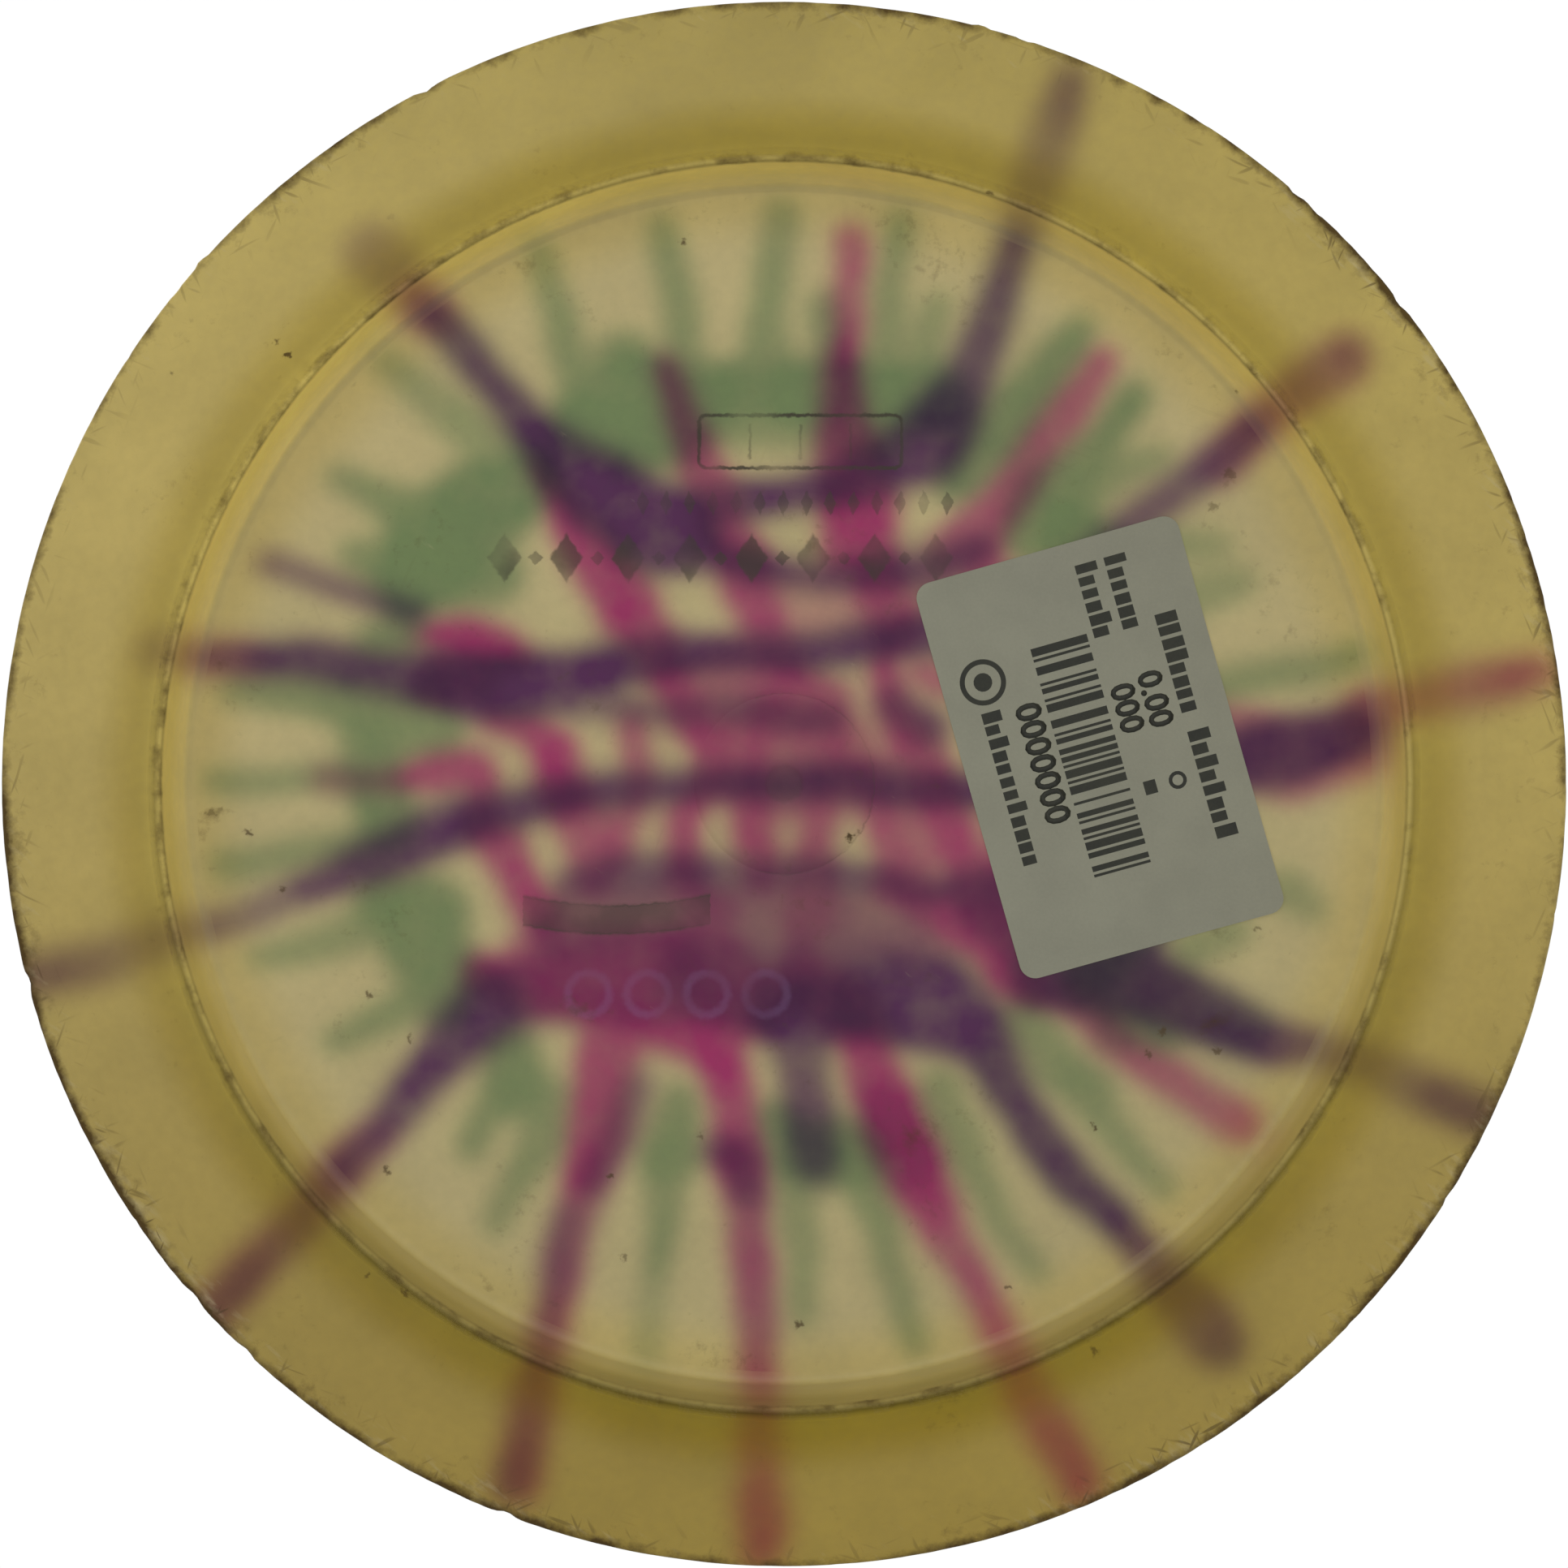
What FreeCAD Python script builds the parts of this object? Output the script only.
"""Disc-golf driver: a domed flight plate in a wing-shaped rim, with a stamped top and a price label underneath.

Frame: +Z is up through the dome, the origin is the centre of the circle that the rim's foot rests on.
"""

import FreeCAD, Part
import math
import os

# Driving dimensions, in millimetres.
DIAMETER = 211.0
RIM_WIDTH = 23.1
RIM_DEPTH = 11.5
PLATE_THICKNESS = 1.9
DOME_RISE = 3.5
FOOT_WIDTH = 1.8
WALL_DRAFT = 0.4
WALL_FILLET = 1.2

NOSE_LOW = 6.1
NOSE_HIGH = 7.9
NOSE_ROUND_LOW = 0.9
NOSE_ROUND_HIGH = 1.4
WING_BREAK_INSET = 11.0
WING_BREAK_HEIGHT = 3.9
WING_BREAK_RADIUS = 50.0
SHOULDER_SLOPE_DEG = 20.0
SHOULDER_RADIUS = 88.0
FOOT_ROUND_IN = 0.4
FOOT_ROUND_OUT = 0.6

GATE_RADIUS = 2.6
GATE_DEPTH = 0.2
INSERT_RING_RADIUS = 12.5
INSERT_RING_WIDTH = 0.3
INSERT_RING_DEPTH = 0.08

FOIL_THICKNESS = 0.03

LABEL_LENGTH = 56.6
LABEL_HEIGHT = 37.3
LABEL_CORNER = 2.2
LABEL_CENTRE = (-43.4, 5.0)
LABEL_TURN_DEG = 15.7
ADHESIVE_THICKNESS = 0.03
PAPER_THICKNESS = 0.10
INK_THICKNESS = 0.02

# Values worked out from the driving dimensions.
OUTER_RADIUS = DIAMETER / 2
FOOT_INNER_RADIUS = OUTER_RADIUS - RIM_WIDTH
FOOT_OUTER_RADIUS = FOOT_INNER_RADIUS + FOOT_WIDTH
WALL_TOP_RADIUS = FOOT_INNER_RADIUS - WALL_DRAFT
PLATE_RADIUS = WALL_TOP_RADIUS - WALL_FILLET - 0.3
UNDERSIDE_RADIUS = (WALL_TOP_RADIUS ** 2 + DOME_RISE ** 2) / (2 * DOME_RISE)
TOPSIDE_RADIUS = UNDERSIDE_RADIUS + PLATE_THICKNESS
DOME_CENTRE_Z = RIM_DEPTH + DOME_RISE - UNDERSIDE_RADIUS
AXIS = FreeCAD.Vector(0, 0, 1)


def dome_height(sphere_radius, r):
    """Height of a sphere about the dome's centre, at a distance r from the axis."""
    return DOME_CENTRE_Z + math.sqrt(sphere_radius ** 2 - r ** 2)


def point(r, z):
    """A point of the half section, in the XZ plane."""
    return FreeCAD.Vector(r, 0, z)


def dome_arc(sphere_radius, r_start, r_end):
    """The dome's arc in the half section, from one radius to another."""
    r_middle = (r_start + r_end) / 2
    ends = [point(r, dome_height(sphere_radius, r)) for r in (r_start, r_middle, r_end)]
    return Part.Arc(*ends).toShape()


def line(start, end):
    """A straight edge."""
    return Part.makeLine(start, end)


def rounded_path(start, corners, end):
    """Straight edges through the corners, each corner given as (point, radius) and rounded by a tangent arc."""
    edges = []
    here = start
    for i, (corner, radius) in enumerate(corners):
        after = corners[i + 1][0] if i + 1 < len(corners) else end
        back = (here - corner).normalize()
        onward = (after - corner).normalize()
        half_angle = back.getAngle(onward) / 2
        reach = radius / math.tan(half_angle)
        bisector = (back + onward).normalize()
        arc_start = corner + back * reach
        arc_end = corner + onward * reach
        arc_middle = corner + bisector * (radius / math.sin(half_angle) - radius)
        edges.append(line(here, arc_start))
        edges.append(Part.Arc(arc_start, arc_middle, arc_end).toShape())
        here = arc_end
    edges.append(line(here, end))
    return edges


def revolved(edges):
    """The solid that the closed half section makes when it turns about the axis."""
    face = Part.Face(Part.Wire(edges))
    return face.revolve(FreeCAD.Vector(0, 0, 0), AXIS, 360)


def flight_plate():
    """Domed plate of even thickness, with the gate recess and the insert ring line in its underside."""
    gate_top = dome_height(UNDERSIDE_RADIUS, 0) + GATE_DEPTH
    ring_in = INSERT_RING_RADIUS - INSERT_RING_WIDTH / 2
    ring_out = INSERT_RING_RADIUS + INSERT_RING_WIDTH / 2
    floor_in = dome_height(UNDERSIDE_RADIUS, ring_in)
    floor_out = dome_height(UNDERSIDE_RADIUS, ring_out)
    groove_top = floor_out + INSERT_RING_DEPTH
    rim_low = point(PLATE_RADIUS, dome_height(UNDERSIDE_RADIUS, PLATE_RADIUS))
    rim_high = point(PLATE_RADIUS, dome_height(TOPSIDE_RADIUS, PLATE_RADIUS))
    crown = point(0, dome_height(TOPSIDE_RADIUS, 0))
    edges = [
        line(point(0, gate_top), point(GATE_RADIUS, gate_top)),
        line(point(GATE_RADIUS, gate_top), point(GATE_RADIUS, dome_height(UNDERSIDE_RADIUS, GATE_RADIUS))),
        dome_arc(UNDERSIDE_RADIUS, GATE_RADIUS, ring_in),
        line(point(ring_in, floor_in), point(ring_in, groove_top)),
        line(point(ring_in, groove_top), point(ring_out, groove_top)),
        line(point(ring_out, groove_top), point(ring_out, floor_out)),
        dome_arc(UNDERSIDE_RADIUS, ring_out, PLATE_RADIUS),
        line(rim_low, rim_high),
        dome_arc(TOPSIDE_RADIUS, PLATE_RADIUS, 0),
        line(crown, point(0, gate_top)),
    ]
    return revolved(edges)


def rim():
    """Wing-shaped ring: fillet, inner wall, flat foot, hollowed wing underside, nose and domed shoulder."""
    plate_low = point(PLATE_RADIUS, dome_height(UNDERSIDE_RADIUS, PLATE_RADIUS))
    plate_high = point(PLATE_RADIUS, dome_height(TOPSIDE_RADIUS, PLATE_RADIUS))
    dome_slope = PLATE_RADIUS / (plate_high.z - DOME_CENTRE_Z)
    wing_slope = math.tan(math.radians(SHOULDER_SLOPE_DEG))
    drop = plate_high.z + dome_slope * PLATE_RADIUS - NOSE_HIGH - wing_slope * OUTER_RADIUS
    shoulder_r = drop / (dome_slope - wing_slope)
    shoulder = point(shoulder_r, NOSE_HIGH + wing_slope * (OUTER_RADIUS - shoulder_r))
    corners = [
        (point(WALL_TOP_RADIUS, dome_height(UNDERSIDE_RADIUS, WALL_TOP_RADIUS)), WALL_FILLET),
        (point(FOOT_INNER_RADIUS, 0), FOOT_ROUND_IN),
        (point(FOOT_OUTER_RADIUS, 0), FOOT_ROUND_OUT),
        (point(OUTER_RADIUS - WING_BREAK_INSET, WING_BREAK_HEIGHT), WING_BREAK_RADIUS),
        (point(OUTER_RADIUS, NOSE_LOW), NOSE_ROUND_LOW),
        (point(OUTER_RADIUS, NOSE_HIGH), NOSE_ROUND_HIGH),
        (shoulder, SHOULDER_RADIUS),
    ]
    edges = rounded_path(plate_low, corners, plate_high)
    edges.append(line(plate_high, plate_low))
    return revolved(edges)


def shell(inner_radius, thickness):
    """A thin layer between two spheres about the dome's centre."""
    centre = FreeCAD.Vector(0, 0, DOME_CENTRE_Z)
    outer = Part.makeSphere(inner_radius + thickness, centre, AXIS, 60, 90, 360)
    inner = Part.makeSphere(inner_radius, centre, AXIS, 50, 90, 360)
    return outer.cut(inner)


def layer(prisms, inner_radius, thickness):
    """The prisms cut to a thin layer that follows the dome, as one group of solids."""
    pieces = [solid for solid in Part.Compound(prisms).common(shell(inner_radius, thickness)).Solids]
    return Part.Compound(pieces)


def prism(outline):
    """A tall prism on a closed list of edges that lie in the XY plane."""
    face = Part.Face(Part.Wire(outline))
    return face.extrude(AXIS * (RIM_DEPTH + DOME_RISE + 2 * PLATE_THICKNESS))


def polygon(points):
    """A prism on a polygon through the points."""
    return prism(Part.makePolygon([*points, points[0]]).Edges)


def rectangle(x0, y0, x1, y1):
    """A prism on an upright rectangle."""
    corners = [(x0, y0), (x1, y0), (x1, y1), (x0, y1)]
    return polygon([FreeCAD.Vector(x, y, 0) for x, y in corners])


def sector(centre, r_in, r_out, start_deg, end_deg):
    """A prism on a piece of a ring, between two radii and two angles."""
    def at(radius, degrees):
        angle = math.radians(degrees)
        return centre + FreeCAD.Vector(radius * math.cos(angle), radius * math.sin(angle), 0)

    middle = (start_deg + end_deg) / 2
    outline = [
        Part.Arc(at(r_in, start_deg), at(r_in, middle), at(r_in, end_deg)).toShape(),
        line(at(r_in, end_deg), at(r_out, end_deg)),
        Part.Arc(at(r_out, end_deg), at(r_out, middle), at(r_out, start_deg)).toShape(),
        line(at(r_out, start_deg), at(r_in, start_deg)),
    ]
    return prism(outline)


def lozenge(x, y, width, height):
    """A prism on an upright diamond about a point."""
    reach = [(-width / 2, 0), (0, -height / 2), (width / 2, 0), (0, height / 2)]
    return polygon([FreeCAD.Vector(x + dx, y + dy, 0) for dx, dy in reach])


def roundel(x, y, radius):
    """A prism on a round dot."""
    return Part.makeCylinder(radius, RIM_DEPTH + DOME_RISE + 2 * PLATE_THICKNESS, FreeCAD.Vector(x, y, 0))


def cell_frame():
    """Outlined box divided into four cells, for a player's mark."""
    x0, y0, x1, y1, stroke = -16.2, 43.6, 11.7, 50.8, 0.35
    frame = [
        rectangle(x0, y0, x1, y0 + stroke),
        rectangle(x0, y1 - stroke, x1, y1),
    ]
    cell = (x1 - x0 - stroke) / 4
    uprights = [x0 + i * cell for i in range(5)]
    return frame + [rectangle(x, y0 + stroke, x + stroke, y1 - stroke) for x in uprights]


def small_row():
    """Row of small upright lozenges."""
    count, x0, x1, y = 14, -22.5, 19.5, 38.8
    pitch = (x1 - x0) / (count - 1)
    return [lozenge(x0 + i * pitch, y, 1.7, 3.4) for i in range(count)]


def large_row():
    """Row of large lozenges with a dot between each pair."""
    count, x0, x1, y = 8, -21.0, 38.5, 31.2
    pitch = (x1 - x0) / (count - 1)
    lozenges = [lozenge(x0 + i * pitch, y, 4.6, 6.7) for i in range(count)]
    dots = [roundel(x0 + (i + 0.5) * pitch, y, 1.0) for i in range(count - 1)]
    return lozenges + dots


def ribbon():
    """Curved band with a row of open dots in it."""
    centre, r_in, r_out = FreeCAD.Vector(23.6, 42.0, 0), 58.5, 63.0
    band = sector(centre, r_in, r_out, 258, 282)
    middle = (r_in + r_out) / 2
    for i in range(5):
        angle = math.radians(262 + 4 * i)
        hole = centre + FreeCAD.Vector(middle * math.cos(angle), middle * math.sin(angle), 0)
        band = band.cut(roundel(hole.x, hole.y, 1.1))
    return [band]


def ring_row():
    """Row of open rings."""
    count, x0, x1, y = 4, 2.5, 27.0, -29.0
    pitch = (x1 - x0) / (count - 1)
    return [roundel(x0 + i * pitch, y, 3.4).cut(roundel(x0 + i * pitch, y, 2.3)) for i in range(count)]


def flight_arcs():
    """Three short arcs, one inside the other."""
    centre = FreeCAD.Vector(-12.5, -29.0, 0)
    return [sector(centre, r, r + 0.5, 55, 125) for r in (3.4, 5.0, 6.6)]


def hot_stamp_foil():
    """Stamped film on the top face: a generic ornament of outlines, lozenges, dots and arcs."""
    prisms = cell_frame() + small_row() + large_row() + ribbon() + ring_row() + flight_arcs()
    return layer(prisms, TOPSIDE_RADIUS, FOIL_THICKNESS)


def on_label(along, up):
    """A point of the label, from its centre along the reading direction and up across it."""
    turn = math.radians(LABEL_TURN_DEG)
    x = LABEL_CENTRE[0] - along * math.sin(turn) - up * math.cos(turn)
    y = LABEL_CENTRE[1] - along * math.cos(turn) + up * math.sin(turn)
    return FreeCAD.Vector(x, y, 0)


def label_outline():
    """The label's outline: a rectangle with rounded corners."""
    a, b = LABEL_LENGTH / 2, LABEL_HEIGHT / 2
    corners = [on_label(-a, b), on_label(-a, -b), on_label(a, -b), on_label(a, b)]
    start = on_label(0, b)
    edges = rounded_path(start, [(corner, LABEL_CORNER) for corner in corners], start)
    return prism(edges)


def label_block(along0, along1, up0, up1):
    """A prism on a rectangle in the label's own directions."""
    corners = [(along0, up0), (along1, up0), (along1, up1), (along0, up1)]
    return polygon([on_label(along, up) for along, up in corners])


def bar_code():
    """Upright bars of one to three modules, with one or two modules between them."""
    module, start, end, low, high = 0.38, -15.6, 17.6, -5.4, 2.6
    bars = []
    here, i = start, 0
    while here < end:
        width = module * (1 + (i * i + 2 * i) % 3)
        bars.append(label_block(here, here + width, low, high))
        here += width + module * (1 + (3 * i + i * i // 2) % 2)
        i += 1
    return bars


def text_blocks():
    """Plain blocks where the label's lines of print stand: (start, end, middle height, block height)."""
    words = [
        (-15.5, -2.0, 13.7, 2.6), (0.5, 16.8, 13.7, 2.6),
        (-25.0, -14.0, 9.1, 2.4), (-9.0, 0.0, 9.1, 2.4), (5.2, 7.0, 9.1, 2.4),
        (-25.0, -14.0, 5.3, 2.4), (-7.0, -1.0, 5.3, 2.4), (5.2, 7.0, 5.3, 2.4),
        (-8.0, 8.2, -7.9, 2.4), (-8.6, 13.6, -12.9, 2.4),
    ]
    return [label_block(a, b, v - h / 2, v + h / 2) for a, b, v, h in words]


def disc_emblem():
    """Ring round a dot, the plain sign of a disc."""
    centre = on_label(-13.0, -12.9)
    ring = roundel(centre.x, centre.y, 3.2).cut(roundel(centre.x, centre.y, 2.5))
    return [ring, roundel(centre.x, centre.y, 1.3)]


def label_layers():
    """The label's three layers from the plate down: gum, paper and ink."""
    gum_radius = UNDERSIDE_RADIUS - ADHESIVE_THICKNESS
    paper_radius = gum_radius - PAPER_THICKNESS
    ink_radius = paper_radius - INK_THICKNESS
    ink = bar_code() + text_blocks() + disc_emblem()
    return {
        "price_label_adhesive": layer([label_outline()], gum_radius, ADHESIVE_THICKNESS),
        "price_label_paper": layer([label_outline()], paper_radius, PAPER_THICKNESS),
        "price_label_ink": layer(ink, ink_radius, INK_THICKNESS),
    }


def main():
    """Writes one STEP file for each node."""
    os.makedirs("parts", exist_ok=True)
    nodes = {"flight_plate": flight_plate(), "rim": rim(), "hot_stamp_foil": hot_stamp_foil()}
    nodes.update(label_layers())
    for name, shape in nodes.items():
        shape.exportStep(f"parts/{name}.step")
        print(name, len(shape.Solids), "solids", round(shape.Volume, 2), "mm3", shape.isValid())


main()
